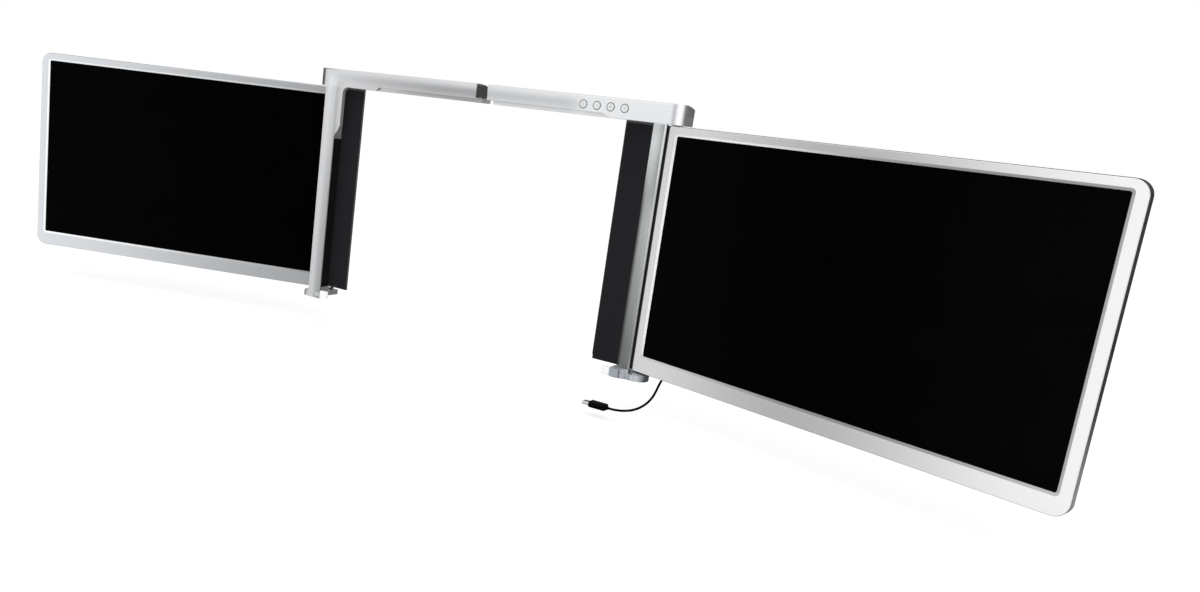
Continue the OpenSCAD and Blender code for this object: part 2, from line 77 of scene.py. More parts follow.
# ------------------------------------------------------------------ camera
RIGHT = Vector((0.82225, 0.55656, 0.11895))
DOWN = Vector((0.21170, -0.10509, -0.97167))
AHEAD = Vector((-0.52829, 0.82413, -0.20423))
cam_data = bpy.data.cameras.new("camera")
cam_data.sensor_fit = "HORIZONTAL"
cam_data.sensor_width = 36.0
cam_data.lens = 30.03
cam_data.shift_x = 0.1050
cam_data.shift_y = 0.0233
cam_data.clip_start = 0.01
cam_data.clip_end = 100.0
cam = bpy.data.objects.new("camera", cam_data)
SCENE.collection.objects.link(cam)
m = Matrix((RIGHT, -DOWN, -AHEAD)).transposed().to_4x4()
m.translation = Vector((0.54735, -0.80758, -0.01999))
cam.matrix_world = m
SCENE.camera = cam

# ------------------------------------------------------------------ node helpers


class Mat:
    """A small wrapper for building node materials."""

    def __init__(self, name):
        self.m = bpy.data.materials.new(name)
        self.m.use_nodes = True
        self.t = self.m.node_tree
        self.t.nodes.clear()
        self.out = self.t.nodes.new("ShaderNodeOutputMaterial")
        self.b = self.t.nodes.new("ShaderNodeBsdfPrincipled")
        self.t.links.new(self.b.outputs[0], self.out.inputs[0])
        self.coord = self.t.nodes.new("ShaderNodeTexCoord")

    def node(self, kind, **values):
        n = self.t.nodes.new(kind)
        for k, v in values.items():
            if hasattr(n, k):
                setattr(n, k, v)
            else:
                n.inputs[k.replace("_", " ")].default_value = v
        return n

    def link(self, a, b):
        self.t.links.new(a, b)

    def set(self, **values):
        for k, v in values.items():
            self.b.inputs[k.replace("_", " ")].default_value = v
        return self

    def noise(self, scale, detail=3.0, rough=0.55, stretch=(1, 1, 1)):
        mp = self.t.nodes.new("ShaderNodeMapping")
        mp.inputs["Scale"].default_value = stretch
        self.link(self.coord.outputs["Object"], mp.inputs[0])
        n = self.t.nodes.new("ShaderNodeTexNoise")
        n.inputs["Scale"].default_value = scale
        n.inputs["Detail"].default_value = detail
        n.inputs["Roughness"].default_value = rough
        self.link(mp.outputs[0], n.inputs["Vector"])
        return n.outputs["Fac"]

    def ramp(self, fac, a, b, lo=0.3, hi=0.7):
        r = self.t.nodes.new("ShaderNodeMapRange")
        r.inputs["From Min"].default_value = lo
        r.inputs["From Max"].default_value = hi
        r.inputs["To Min"].default_value = a
        r.inputs["To Max"].default_value = b
        self.link(fac, r.inputs["Value"])
        return r.outputs[0]

    def mix(self, fac, a, b, lo=0.35, hi=0.65):
        r = self.t.nodes.new("ShaderNodeValToRGB")
        r.color_ramp.elements[0].position = lo
        r.color_ramp.elements[1].position = hi
        r.color_ramp.elements[0].color = (*a, 1)
        r.color_ramp.elements[1].color = (*b, 1)
        self.link(fac, r.inputs[0])
        return r.outputs[0]

    def bump(self, height, strength, distance=0.0002):
        n = self.t.nodes.new("ShaderNodeBump")
        n.inputs["Strength"].default_value = strength
        n.inputs["Distance"].default_value = distance
        self.link(height, n.inputs["Height"])
        self.link(n.outputs[0], self.b.inputs["Normal"])
        return self

    def color(self, sock):
        self.link(sock, self.b.inputs["Base Color"])
        return self

    def rough(self, sock):
        self.link(sock, self.b.inputs["Roughness"])
        return self


def silver(name, tone, metallic, r0, r1, grain=2600, bump=0.05, with_painted_shading=False):
    """Fine bead-blasted metal with a satin coat. With shading on, the base colour is multiplied by the mesh's tone
    attribute, which holds painted shade, deepest in the dished parts, and painted highlights.
    """
    k = Mat(name)
    k.set(Metallic=metallic)
    base = k.mix(k.noise(9, 2), tuple(c * 0.985 for c in tone), tone)
    # painted shade and painted highlights: the base colour times the tone attribute
    if with_painted_shading:
        at = k.t.nodes.new("ShaderNodeAttribute")
        at.attribute_name = "tone"
        mx = k.t.nodes.new("ShaderNodeMix")
        mx.data_type = "RGBA"
        mx.blend_type = "MULTIPLY"
        mx.inputs["Factor"].default_value = 1.0
        k.link(base, mx.inputs["A"])
        k.link(at.outputs["Color"], mx.inputs["B"])
        base = mx.outputs["Result"]
    k.color(base)
    fine = k.noise(grain, 2, 0.6)
    k.rough(k.ramp(fine, r0, r1))
    k.bump(fine, bump, 0.00003)
    return k.m


def plastic(name, a, b, r0, r1, grain=1800, bump=0.15, spec=0.4, with_painted_shading=False):
    k = Mat(name)
    k.set(Specular_IOR_Level=spec)
    base = k.mix(k.noise(60, 3), a, b)
    # painted shade and painted reflection: the base colour times the tone attribute
    if with_painted_shading:
        at = k.t.nodes.new("ShaderNodeAttribute")
        at.attribute_name = "tone"
        mx = k.t.nodes.new("ShaderNodeMix")
        mx.data_type = "RGBA"
        mx.blend_type = "MULTIPLY"
        mx.inputs["Factor"].default_value = 1.0
        k.link(base, mx.inputs["A"])
        k.link(at.outputs["Color"], mx.inputs["B"])
        base = mx.outputs["Result"]
    k.color(base)
    fine = k.noise(grain, 3, 0.6)
    k.rough(k.ramp(fine, r0, r1))
    k.bump(fine, bump, 0.00005)
    return k.m


M = {}
M["silver"] = silver("silver_frame", (0.955, 0.96, 0.965), 0.87, 0.32, 0.37, 2600, 0.012, with_painted_shading=True)
M["rim"] = silver("silver_rim", (0.928, 0.929, 0.930), 0.9, 0.16, 0.20, 3000, 0.012)
M["trim"] = silver("silver_trim", (0.93, 0.935, 0.94), 0.1, 0.34, 0.40, 3000, 0.012, with_painted_shading=True)
M["tongue"] = silver("clip_grey", (0.44, 0.47, 0.51), 0.8, 0.32, 0.38, 2600, 0.015)
M["cover"] = silver("silver_cover", (0.80, 0.81, 0.82), 0.9, 0.34, 0.40, 2600, 0.015)
M["casing"] = plastic("dark_casing", (0.030, 0.030, 0.032), (0.036, 0.035, 0.036), 0.42, 0.52, 2200, 0.25, 0.5, with_painted_shading=True)
M["white"] = plastic("white_pad", (0.95, 0.95, 0.95), (0.965, 0.965, 0.965), 0.40, 0.50, 1500, 0.05, 0.4)
M["button"] = plastic("button_white", (0.73, 0.735, 0.735), (0.75, 0.755, 0.755), 0.30, 0.36, 1800, 0.03, 0.5)
M["ring"] = silver("button_ring", (0.22, 0.225, 0.22), 0.4, 0.36, 0.42, 2600, 0.015)
M["icon"] = plastic("button_icon", (0.40, 0.40, 0.40), (0.44, 0.44, 0.44), 0.45, 0.55)
M["rubber"] = plastic("black_rubber", (0.003, 0.0035, 0.004), (0.006, 0.0065, 0.007), 0.60, 0.75, 2500, 0.3, 0.08)
M["cord"] = plastic("cord_black", (0.0012, 0.0012, 0.0012), (0.0022, 0.0022, 0.0022), 0.42, 0.52, 1500, 0.15, 0.03)
M["plug"] = plastic("plug_black", (0.0012, 0.0012, 0.0012), (0.0022, 0.0022, 0.0022), 0.36, 0.44, 1500, 0.12, 0.04)
M["backplate"] = plastic("back_plate", (0.055, 0.057, 0.060), (0.065, 0.067, 0.070), 0.45, 0.55, 1800, 0.2, 0.4)
M["ribbon"] = plastic("ribbon", (0.50, 0.25, 0.05), (0.56, 0.29, 0.07), 0.30, 0.40)
M["light"] = plastic("light_guide", (0.82, 0.82, 0.80), (0.86, 0.86, 0.84), 0.25, 0.35)


def foam_material():
    k = Mat("foam")
    k.set(Specular_IOR_Level=0.1)
    v = k.t.nodes.new("ShaderNodeTexVoronoi")
    v.inputs["Scale"].default_value = 1600
    k.link(k.coord.outputs["Object"], v.inputs["Vector"])
    k.color(k.mix(v.outputs["Distance"], (0.010, 0.010, 0.011), (0.016, 0.016, 0.018), 0.1, 0.6))
    k.set(Roughness=0.92)
    k.bump(v.outputs["Distance"], 0.6, 0.00015)
    return k.m


def brushed(name, tone, r0, r1, stretch, metallic=1.0, depth=0.10):
    k = Mat(name)
    k.set(Metallic=metallic)
    lines = k.noise(900, 4, 0.6, stretch)
    # painted shade and painted highlights: the base colour times the mesh's tone attribute
    at = k.t.nodes.new("ShaderNodeAttribute")
    at.attribute_name = "tone"
    mx = k.t.nodes.new("ShaderNodeMix")
    mx.data_type = "RGBA"
    mx.blend_type = "MULTIPLY"
    mx.inputs["Factor"].default_value = 1.0
    k.link(k.mix(lines, tuple(c * 0.94 for c in tone), tone), mx.inputs["A"])
    k.link(at.outputs["Color"], mx.inputs["B"])
    k.color(mx.outputs["Result"])
    k.rough(k.ramp(lines, r0, r1))
    k.bump(lines, depth, 0.00003)
    return k.m


def glass_material():
    k = Mat("display")
    k.set(Specular_IOR_Level=0.02)
    k.color(k.mix(k.noise(25, 2), (0.0003, 0.0003, 0.0003), (0.0005, 0.0005, 0.0005)))
    k.rough(k.ramp(k.noise(14, 3), 0.10, 0.16))
    return k.m


def board_material():
    k = Mat("circuit")
    k.set(Specular_IOR_Level=0.5)
    k.color(k.mix(k.noise(420, 2, 0.5, (1, 1, 1)), (0.010, 0.070, 0.035), (0.020, 0.110, 0.055), 0.45, 0.55))
    k.rough(k.ramp(k.noise(700, 2), 0.30, 0.45))
    return k.m


M["foam"] = foam_material()
M["leg"] = brushed("leg_plate", (0.80, 0.815, 0.81), 0.46, 0.52, (1, 1, 0.02), 0.6, 0.02)
M["rail"] = brushed("rail", (0.039, 0.041, 0.039), 0.36, 0.44, (0.02, 1, 1), 0.4, 0.06)
M["steel"] = brushed("steel", (0.62, 0.62, 0.62), 0.22, 0.32, (1, 1, 0.05))
M["shell"] = silver("plug_shell", (0.72, 0.73, 0.74), 1.0, 0.18, 0.24)
M["glass"] = glass_material()
M["board"] = board_material()

# ------------------------------------------------------------------ mesh helpers


def roll_normals(me, rolls):
    """Gives each vertex of a rolled corner its radial normal. rolls lists (x, y, radius, first and last angle, lowest and highest z)."""
    out = {}
    for v in me.vertices:
        q = v.co * 1000.0 + SEAT
        for cx, cy, r, a0, a1, z0, z1 in rolls:
            a = math.degrees(math.atan2(q.y - cy, q.x - cx))
            if z0 < q.z < z1 and a0 - 0.5 < a < a1 + 0.5 and abs(math.hypot(q.x - cx, q.y - cy) - r) < 0.06:
                out[v.index] = Vector((q.x - cx, q.y - cy, 0.0)).normalized()
    me.normals_split_custom_set([out.get(loop.vertex_index, Vector((0, 0, 0))) for loop in me.loops])
    return list(out)


def finish_mesh(bm, name, mats, body, replaced=(), angle=38.0, weighted=True, tone=None, crease=None, rolls=()):
    """Makes the piece. tone(x, y, z) gives the painted shade (below 1) and painted highlight (above 1) on the base
    colour at a point of the drawing, 1 being none.
    """
    me = bpy.data.meshes.new(name)
    bmesh.ops.recalc_face_normals(bm, faces=bm.faces[:])
    for f in bm.faces:
        f.smooth = True
    for e in bm.edges:
        e.smooth = not (e.is_manifold and (e.calc_face_angle(0.0) > math.radians(angle) or (crease and crease(e))))
    bm.to_mesh(me)
    bm.free()
    ob = bpy.data.objects.new(name, me)
    SCENE.collection.objects.link(ob)
    for k in mats if isinstance(mats, (list, tuple)) else [mats]:
        me.materials.append(k)
    # the tone attribute carries painted shade and painted highlights into the materials
    at = me.attributes.new("tone", "FLOAT_COLOR", "POINT")
    for i, v in enumerate(me.vertices):
        q = v.co * 1000.0 + SEAT
        c = tone(*q) if tone else 1.0
        at.data[i].color = (c, c, c, 1.0)
    if weighted:
        w = ob.modifiers.new("weighted", "WEIGHTED_NORMAL")
        w.mode = "FACE_AREA"
        w.weight = 50
        w.keep_sharp = True
        if rolls:
            ob.vertex_groups.new(name="rolled").add(roll_normals(me, rolls), 1.0, "REPLACE")
            w.vertex_group = "rolled"
            w.invert_vertex_group = True
    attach(ob, body)
    if replaced:
        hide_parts(*replaced)
    return ob


def cad_bmesh(node, flat=0.6):
    """The node's shape as a fresh, merged mesh with one face for each flat or rolled side."""
    bm = bmesh.new()
    bm.from_mesh(NODES[node].data)
    bmesh.ops.remove_doubles(bm, verts=bm.verts[:], dist=2e-6)
    bmesh.ops.dissolve_degenerate(bm, dist=2e-6, edges=bm.edges[:])
    bmesh.ops.dissolve_limit(bm, angle_limit=math.radians(flat), use_dissolve_boundaries=False, verts=bm.verts[:], edges=bm.edges[:])
    return bm


def soften(bm, width, segments=2, angle=30.0, keep=None, min_len=0.0):
    """Rounds the sharp edges by width metres."""
    edges = []
    for e in bm.edges:
        if not e.is_manifold or e.calc_face_angle(0.0) < math.radians(angle):
            continue
        if e.calc_length() < min_len or (keep and not keep(e)):
            continue
        edges.append(e)
    if edges:
        bmesh.ops.bevel(bm, geom=edges, offset=width, offset_type="OFFSET", segments=segments, profile=0.5, affect="EDGES", clamp_overlap=True, loop_slide=True)
        bmesh.ops.remove_doubles(bm, verts=bm.verts[:], dist=2e-6)


def cad_piece(node, mat, body=None, width=0.15, segments=2, keep=None, name=None, angle=38.0, tone=None, shape=None, crease=None, rolls=()):
    bm = cad_bmesh(node)
    if width:
        soften(bm, width / 1000.0, segments, keep=keep)
    if shape:
        shape(bm)
    return finish_mesh(bm, name or node + "_piece", mat, body or NODES[node]["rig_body"], [node], angle, tone=tone, crease=crease, rolls=rolls)


def smooth(t):
    t = max(0.0, min(1.0, t))
    return t * t * (3 - 2 * t)


def smin(a, b, k):
    h = max(k - abs(a - b), 0.0) / k
    return min(a, b) - h * h * k / 4


def lerp(x, table):
    """Straight-line value at x from a short table of (x, value)."""
    if x <= table[0][0]:
        return table[0][1]
    for (a, u), (b, v) in zip(table, table[1:]):
        if x <= b:
            return u + (v - u) * (x - a) / (b - a)
    return table[-1][1]


def cut_grid(bm, chosen, xs=(), zs=()):
    """Cuts the chosen faces along lines of equal X or Z, in the drawing's millimetres."""
    for axis, values in ((0, xs), (2, zs)):
        for v in values:
            faces = [f for f in bm.faces if chosen(f)]
            co = Vector((0, 0, 0))
            co[axis] = (v - SEAT[axis]) / 1000.0
            no = Vector((0, 0, 0))
            no[axis] = 1.0
            near = [f for f in faces if min(w.co[axis] for w in f.verts) < co[axis] - 1e-6 < co[axis] + 1e-6 < max(w.co[axis] for w in f.verts)]
            if not near:
                continue
            geom = near + list({e for f in near for e in f.edges}) + list({w for f in near for w in f.verts})
            bmesh.ops.bisect_plane(bm, geom=geom, dist=1e-6, plane_co=co, plane_no=no)


def rr(x0, y0, x1, y1, ri, ro, n=10):
    """Rounded rectangle, ri at the x0 side and ro at the x1 side, counter-clockwise."""
    pts = []
    for cx, cy, r, a in ((x1 - ro, y0 + ro, ro, -90), (x1 - ro, y1 - ro, ro, 0), (x0 + ri, y1 - ri, ri, 90), (x0 + ri, y0 + ri, ri, 180)):
        for i in range(n + 1):
            t = math.radians(a + 90.0 * i / n)
            pts.append((cx + r * math.cos(t), cy + r * math.sin(t)))
    return pts


def loft(bm, rings, closed=False, mat=0):
    """Joins rings of equally many points with quads. closed joins the last ring to the first."""
    rows = [[bm.verts.new(p) for p in ring] for ring in rings]
    n = len(rows[0])
    pairs = list(zip(rows, rows[1:])) + ([(rows[-1], rows[0])] if closed else [])
    for a, b in pairs:
        for i in range(n):
            j = (i + 1) % n
            f = bm.faces.new((a[i], a[j], b[j], b[i]))
            f.material_index = mat
    return rows


def cap(bm, row, flip=False, mat=0):
    f = bm.faces.new(row[::-1] if flip else row)
    f.material_index = mat
    return f


# ------------------------------------------------------------------ cord
ROUTE = [
    (197, 33, 7.6), (198, 36.7, 7.7), (200.8, 39.3, 7.8), (204.5, 40.3, 7.9), (208.3, 39.4, 8.1), (211.3, 36.6, 8.2), (213, 32.6, 8.3),
    (213.9, 27.2, 8.1), (214.9, 20.6, 6.9), (215.9, 14.2, 4.3), (216.8, 8, 0.7), (217, 1.6, -3.7), (215.5, -5.2, -8.4),
    (212.5, -12, -12), (208.4, -18.4, -14.2), (202.8, -23.3, -15.4), (196.4, -25.6, -16), (189.6, -26, -16.2),
]
CORD_R = 1.05
PLUG = Vector((189.6, -26.0, -16.2))


def catmull(a, b, c, d, t):
    return 0.5 * (2 * b + (c - a) * t + (2 * a - 5 * b + 4 * c - d) * t * t + (3 * b - a - 3 * c + d) * t * t * t)


def route_points(sub=8):
    r = [Vector(p) for p in ROUTE]
    r = [r[0] - Vector((0, 4, 0))] + r + [r[-1] - Vector((6, 0, 0))]
    out = []
    for i in range(len(ROUTE) - 1):
        for k in range(sub):
            out.append(catmull(r[i], r[i + 1], r[i + 2], r[i + 3], k / sub))
    out.append(Vector(ROUTE[-1]))
    return out


line = route_points()
cu = bpy.data.curves.new("cord", "CURVE")
cu.dimensions = "3D"
cu.bevel_depth = CORD_R / 1000.0
cu.bevel_resolution = 5
cu.use_fill_caps = True
sp = cu.splines.new("POLY")
sp.points.add(len(line) - 1)
for q, v in zip(sp.points, line):
    q.co = (*P(*v), 1.0)
sp.use_smooth = True
cord = bpy.data.objects.new("cord_lead", cu)
SCENE.collection.objects.link(cord)
cu.materials.append(M["cord"])
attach(cord, "right_frame")
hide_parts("cord")


def revolve(profile, origin, axis, up, n=40):
    """Rings of a turned piece: profile is (distance along axis, radius) in mm."""
    axis, up = Vector(axis).normalized(), Vector(up).normalized()
    side = axis.cross(up)
    rings = []
    for s, r in profile:
        rings.append([P(*(Vector(origin) + axis * s + (up * math.cos(2 * math.pi * k / n) + side * math.sin(2 * math.pi * k / n)) * r)) for k in range(n)])
    return rings


# strain relief: a tapered boot with three moulded grooves
prof = [(0, 1.55), (4.05, 1.55), (4.1, 2.1), (4.25, 2.3), (4.9, 2.32), (5.0, 2.05), (5.4, 2.05), (5.5, 2.22), (6.2, 2.12), (6.3, 1.86), (6.7, 1.83), (6.8, 2.0), (7.5, 1.87), (7.6, 1.66), (8.0, 1.62), (8.1, 1.76), (9.4, 1.5), (9.8, 1.42), (9.95, 1.2), (9.95, 1.06)]
bm = bmesh.new()
rows = loft(bm, revolve(prof, (197, 23, 7.6), (0, 1, 0), (0, 0, 1)))
cap(bm, rows[0])
cap(bm, rows[-1], True)
boot = finish_mesh(bm, "cord_boot_piece", M["cord"], "right_frame", ["cord_boot"])

# plug: a soft-edged flat grip, its tapered neck and a hollow steel shell


def stadium(x, half_w, r, n=12):
    """Flat-sided round outline across X at x: half_w to each side of Y, r up and down."""
    pts = []
    for s, a in ((1, -90), (-1, 90)):
        for i in range(n + 1):
            t = math.radians(a + 180.0 * i / n)
            pts.append(Vector((x, PLUG.y + s * (half_w) + r * math.cos(t), PLUG.z + r * math.sin(t))))
    return pts


bm = bmesh.new()
x0 = PLUG.x - 17.6
rings = []
for dx, hw, r in ((0, 2.1, 2.35), (0.12, 2.3, 2.68), (0.4, 2.38, 2.84), (0.9, 2.4, 2.9), (12.9, 2.4, 2.9), (13.0, 2.36, 2.84), (13.25, 2.36, 2.84), (13.35, 2.4, 2.9), (14.5, 2.4, 2.88), (15.0, 2.3, 2.76), (15.3, 2.0, 2.5), (15.4, 1.5, 2.3), (15.45, 0.7, 2.0), (15.7, 0.25, 1.9), (16.6, 0.1, 1.75), (17.3, 0.02, 1.6), (17.55, 0.0, 1.35), (17.6, 0.0, 1.06)):
    rings.append([P(*v) for v in stadium(x0 + dx, hw, r)])
rows = loft(bm, rings)
cap(bm, rows[0])
cap(bm, rows[-1], True)
bmesh.ops.remove_doubles(bm, verts=bm.verts[:], dist=1e-6)
plug = finish_mesh(bm, "plug_body_piece", M["plug"], "right_frame", ["plug_body"])

bm = bmesh.new()
rings = []
for dx, hw, r in ((6.6, 2.95, 1.2), (0.25, 2.95, 1.25), (0.05, 2.93, 1.18), (0.0, 2.9, 1.1), (0.0, 2.85, 0.98), (0.1, 2.82, 0.92), (5.4, 2.8, 0.9)):
    rings.append([P(*v) for v in stadium(x0 - 6.6 + dx, hw, r)])
rows = loft(bm, rings)
cap(bm, rows[0], True)
cap(bm, rows[-1])
bmesh.ops.recalc_face_normals(bm, faces=bm.faces[:])
# the contact tongue inside
t0 = [P(x0 - 6.6 + dx, PLUG.y + dy, PLUG.z + dz) for dx, dy, dz in ((1.0, -2.6, -0.32), (1.0, 2.6, -0.32), (1.0, 2.6, 0.32), (1.0, -2.6, 0.32))]
t1 = [v + Vector((0.0042, 0, 0)) for v in t0]
rows = loft(bm, [t0, t1])
cap(bm, rows[0])
cap(bm, rows[1], True)
plug_shell = finish_mesh(bm, "plug_shell_piece", M["shell"], "right_frame", ["plug_shell"])

# ------------------------------------------------------------------ wings
DISP_W, DISP_H = 344.2, 193.6
U0, EU, ZD0 = -6.2, 5.0, 26.7
U1 = EU + DISP_W + 9.8
ZD1 = ZD0 + DISP_H
Z0, Z1 = ZD0 - 15.4, ZD1 + 8.2
W0, W1 = -5.3, 5.3
WS, WB, STRIP = W0 + 1.2, 2.4, 2.4
C_IN, C_OUT = 1.8, 10.5


def right_wing(u, w, z):
    a = math.radians(-15.2)
    return P(192.4 + u * math.cos(a) - w * math.sin(a), 20.9 + u * math.sin(a) + w * math.cos(a), z)


def left_wing(u, w, z):
    a = math.radians(22.2)
    return P(-192.5 - u * math.cos(a) - w * math.sin(a), 32.2 - u * math.sin(a) + w * math.cos(a), z)


def rr_fine(x0, y0, x1, y1, ri, ro, n=12, k=11):
    """rr with k more points along each straight side."""
    base = rr(x0, y0, x1, y1, ri, ro, n)
    pts = []
    for i, q in enumerate(base):
        pts.append(q)
        if i % (n + 1) == n:
            r = base[(i + 1) % len(base)]
            pts += [(q[0] + (r[0] - q[0]) * j / (k + 1), q[1] + (r[1] - q[1]) * j / (k + 1)) for j in range(1, k + 1)]
    return pts


def rim_outline(i):
    """The rim's outer outline. Its top stands a little inside the casing's, which shows as a fine dark line."""
    return rr_fine(U0 + STRIP + i, Z0 + i, U1 - i, Z1 - 0.42 - i, max(0.35, C_IN - i), C_OUT - i)


def window(a, b, c, r):
    """The window's outline grown by a sideways, b below and c above."""
    return rr_fine(EU - a, ZD0 - b, EU + DISP_W + a, ZD1 + c, r, r)


# Painted shade and painted highlights on the window trim, for each wing: along the lower side, along the upper side, at
# the outer end and at the hinge end.
WINDOW_PAINTED_LIGHT = {
    "right": ([(0, 0.70), (40, 0.62), (80, 0.46), (150, 0.28), (230, 0.28), (300, 0.42), (349, 0.58)], [(0, 1.08), (60, 1.05), (120, 0.80), (180, 0.42), (240, 0.32), (349, 0.40)], 0.46, 1.04),
    "left": ([(0, 0.34), (150, 0.56), (230, 0.85), (349, 1.05)], [(0, 0.5), (150, 0.80), (349, 1.05)], 1.05, 0.8),
}


def window_painted_light(side):
    """The painted shade and highlights on the window trim, as a factor on its base colour: below, above, at the outer
    end and at the hinge end.
    """
    low, high, outer, inner = WINDOW_PAINTED_LIGHT[side]
    back = -15.2 if side == "right" else 22.2
    c, s = math.cos(math.radians(back)), math.sin(math.radians(back))

    def tone(x, y, z):
        u = (x - 192.4) * c + (y - 20.9) * s if side == "right" else -((x + 192.5) * c + (y - 32.2) * s)
        if u > EU + DISP_W - 1.2 and z < ZD1 - 1.2 and z > ZD0 + 1.2:
            return outer
        if u < EU + 1.2 and z < ZD1 - 1.2 and z > ZD0 + 1.2:
            return inner
        return lerp(u, low if z < 120 else high)

    return tone


def make_bezel(side, place):
    bm = bmesh.new()
    rings = [(WS, rim_outline(0)), (W0 + 0.42, rim_outline(0)), (W0 + 0.22, rim_outline(0.05)), (W0 + 0.07, rim_outline(0.2)), (W0, rim_outline(0.42)),
             (W0, window(2.1, 2.2, 2.0, 3.1)), (W0 + 0.03, window(2.0, 2.1, 1.9, 3.0)), (W0 + 0.10, window(1.9, 2.0, 1.8, 2.9)),
             (W0 + 0.34, window(0.9, 0.95, 0.85, 2.2)), (W0 + 0.55, window(0.25, 0.25, 0.25, 1.75)), (WS - 0.36, window(0.06, 0.06, 0.06, 1.6)), (WS - 0.22, window(0, 0, 0, 1.6)), (WS, window(0, 0, 0, 1.6))]
    rows = loft(bm, [[place(u, w, z) for u, z in o] for w, o in rings], closed=True)
    # the trim faces, which get the painted shade and highlights
    for i in range(6, 11):
        for v in rows[i]:
            for f in v.link_faces:
                if all(any(w in r for r in (rows[i], rows[i + 1])) for w in f.verts):
                    f.material_index = 1
    return finish_mesh(bm, side + "_rim", [M["rim"], M["trim"]], side + "_wing", [side + "_bezel"], 32.0, tone=window_painted_light(side))


def wing_u(q):
    """How far out along the right wing a point is."""
    return (q.x - 192.4) * math.cos(math.radians(-15.2)) + (q.y - 20.9) * math.sin(math.radians(-15.2))


def casing_painted_reflection(x, y, z):
    """Painted reflection: the right casing's narrow outer side is lightened to grey towards its foot."""
    if wing_u(Vector((x, y, z))) < U1 - (0.3 if z > 24 else 5.0):
        return 1.0
    return lerp(z, [(12, 8.5), (28, 8.0), (44, 6.5), (60, 4.0), (80, 1.6), (96, 1.0)])


def casing_shape(bm):
    cut_grid(bm, lambda f: wing_u(f.calc_center_median() * 1000.0 + SEAT) > U1 - 2.0 and abs(f.normal.z) < 0.5, zs=[28, 44, 60, 80, 96])


for side, place in (("right", right_wing), ("left", left_wing)):
    make_bezel(side, place)
    cad_piece(side + "_rear_cover", M["casing"], width=0.25, tone=casing_painted_reflection if side == "right" else None, shape=casing_shape if side == "right" else None)
    cad_piece(side + "_lcd_panel", M["glass"], width=0)
    cad_piece(side + "_backlight", M["light"], width=0)
    cad_piece(side + "_driver_board", M["board"], width=0)
    cad_piece(side + "_hinge_barrels", M["steel"], width=0)
    cad_piece(side + "_side_port", M["steel"], width=0)
    cad_piece(side + "_cover_screws", M["steel"], width=0.1)
    cad_piece(side + "_flex_lead", M["ribbon"], width=0)
    cad_piece(side + "_hinge_pins", M["steel"], width=0)
    cad_piece(side + "_washers", M["rubber"], width=0)
    cad_piece(side + "_back_plate", M["backplate"], width=0.2)
    cad_piece(side + "_foam_pad", M["foam"], width=0.3)
    cad_piece(side + "_edge_rubber", M["rubber"], width=0.1)
    cad_piece(side + "_bar_cover", M["cover"], width=0.2)
    cad_piece(side + "_bar_screws", M["steel"], width=0.1)
    cad_piece(side + "_clip_tongue", M["tongue"] if side == "right" else M["cover"], width=0.2)

cad_piece("telescoping_rail", M["rail"], width=0.2)
cad_piece("rail_screws", M["steel"], width=0)
cad_piece("controller_board", M["board"], width=0)
cad_piece("button_board", M["board"], width=0)
cad_piece("button_domes", M["steel"], width=0)
# Painted shade and painted highlights on the right leg plate, as factors on its base colour: the first table across it,
# the second up it, darker towards its foot.
LEG_ACROSS_PAINTED_SHADING = [(174.6, 0.18), (175.6, 0.4), (176.6, 0.85), (177.6, 1.0), (180, 1.05), (181.5, 1.2), (183, 1.5), (184.4, 1.7)]
LEG_PAINTED_SHADE_BY_HEIGHT = [(14, 0.30), (30, 0.26), (60, 0.38), (100, 0.50), (140, 0.62), (170, 0.58), (200, 0.88), (215, 1.08), (228, 1.0)]


# painted shade up the plate; lower down also darker at its left edge and lighter at its right edge
def leg_painted_shading(x, y, z):
    deep = smooth((195.0 - z) / 45.0)
    return lerp(z, LEG_PAINTED_SHADE_BY_HEIGHT) * (1 - deep + deep * lerp(x, LEG_ACROSS_PAINTED_SHADING))


cad_piece("right_leg_plate", M["leg"], width=0.1, tone=leg_painted_shading, shape=lambda bm: cut_grid(bm, lambda f: True, zs=range(20, 226, 6)))

# ------------------------------------------------------------------ bracket halves
FRONT_Y = -SEAT.y / 1000.0


def is_front(f):
    return f.normal.y < -0.995 and all(abs(v.co.y - FRONT_Y) < 4e-5 for v in f.verts)


def near_front(f):
    """Faces that touch the front plane, its rounded edges and the ear, so that a long narrow one doesn't tilt the shading."""
    return any(v.co.y < FRONT_Y + 0.0006 for v in f.verts) or (f.normal.z > -0.3 and f.calc_center_median().x > 0.2)


def dish_left(x, z):
    """How far across the dished front a point is: 0 at its outer edge, 1 at its lowest line, more towards the lip."""
    return smin((244.8 - z) / 10.0, (x + 190.4) / 12.4, 0.8)


def dish_right(x, z):
    return (244.8 - z) / 10.0


def dish_depth(q):
    return 0.85 * smooth(q) - 0.5 * smooth((q - 0.98) * 3.6)


# The weight of the painted shade across the dished front, peaking a little before its lowest line.
def hollow(q):
    return math.exp(-(((q - 0.72) / (0.5 if q < 0.72 else 0.9)) ** 2))


def top_painted_shade(y):
    """Painted shade on the top of the bar and the ears, darker where it slopes down to the back."""
    return lerp(y, [(8.5, 1.0), (12.0, 0.72), (28.0, 0.62)])


